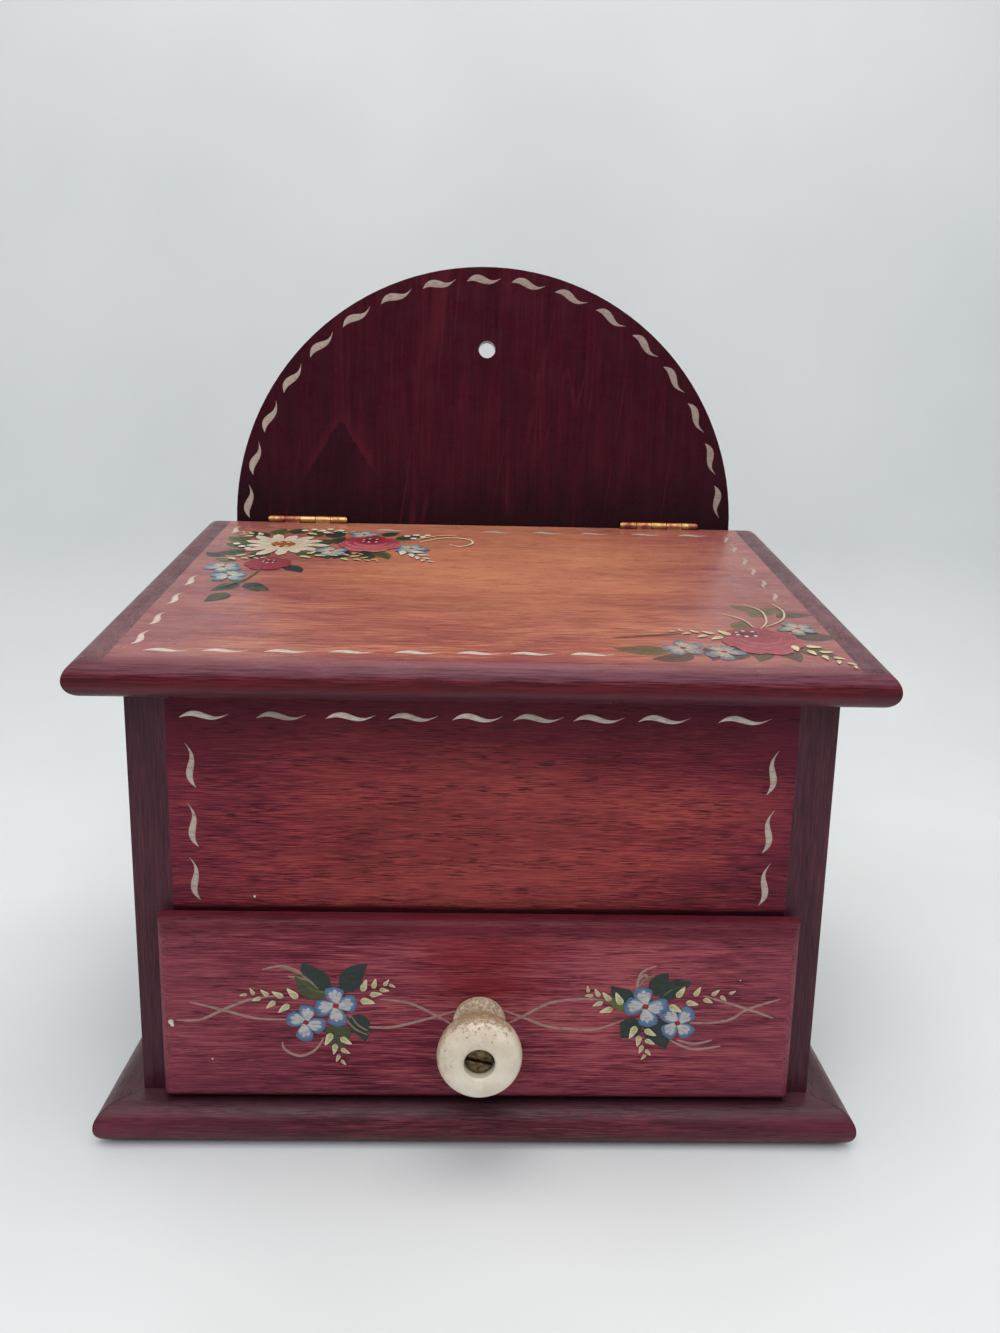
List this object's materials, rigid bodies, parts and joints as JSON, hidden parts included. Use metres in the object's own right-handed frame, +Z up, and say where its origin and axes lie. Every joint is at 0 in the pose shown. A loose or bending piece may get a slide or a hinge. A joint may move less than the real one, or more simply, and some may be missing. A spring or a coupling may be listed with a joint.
{
  "type": "storage_box",
  "caption": "Antique wall storage box: arched back board with hanging hole, sloping hinged lid, lapped drawer with round knob, mitred plinth, folk painting on stained wood.",
  "frame": {"origin": "middle of the case's footprint at the bottom of the base, half way between the front board's face and the wall side", "axes": "+Z up, +Y towards the wall behind the back board, -Y towards the drawer front, +X to the right seen from the front"},
  "size_m": [0.2572, 0.2167, 0.3082],
  "materials": {
    "case_wood": "red-brown stained boards under old satin varnish",
    "lid_wood": "red-brown stained boards, varnish paler from light and wear",
    "drawer_wood": "red-brown stained board with fine dark pores, satin varnish",
    "plinth_wood": "darker red-brown stained moulding, satin varnish",
    "inner_wood": "bare pale wood, dull",
    "hinge_brass": "plain rolled brass, slightly tarnished",
    "knob_glaze": "old cream glaze with brown specks and wear",
    "steel": "dull darkened steel"
  },
  "bodies": {
    "case": {"left_side": "case_wood", "right_side": "case_wood", "front_board": "case_wood", "back_board": "case_wood", "compartment_floor": "inner_wood", "bottom_board": "inner_wood", "plinth_front": "plinth_wood", "plinth_left": "plinth_wood", "plinth_right": "plinth_wood", "case_nails": "steel", "plinth_nails": "steel", "hinge_left_case_leaf": "hinge_brass", "hinge_right_case_leaf": "hinge_brass", "hinge_left_pin": "hinge_brass", "hinge_right_pin": "hinge_brass", "hinge_case_screws": "hinge_brass"},
    "lid": {"lid_panel": "lid_wood", "lid_left_end": "lid_wood", "lid_right_end": "lid_wood", "hinge_left_lid_leaf": "hinge_brass", "hinge_right_lid_leaf": "hinge_brass", "hinge_lid_screws": "hinge_brass"},
    "drawer": {"drawer_front": "drawer_wood", "drawer_left_side": "inner_wood", "drawer_right_side": "inner_wood", "drawer_back": "inner_wood", "drawer_bottom": "inner_wood", "drawer_nails": "steel", "drawer_knob": "knob_glaze", "knob_bolt": "steel", "knob_washer": "steel", "knob_nut": "steel"}
  },
  "joints": [
    {"name": "lid_hinge", "type": "hinge", "parent": "case", "child": "lid", "pos_m": [0, 0.07705, 0.1953], "axis": [-1, 0, 0], "range_deg": [0, 99]},
    {"name": "drawer_slide", "type": "slide", "parent": "case", "child": "drawer", "axis": [0, -1, 0], "range_m": [-0.0016, 0.145]}
  ]
}
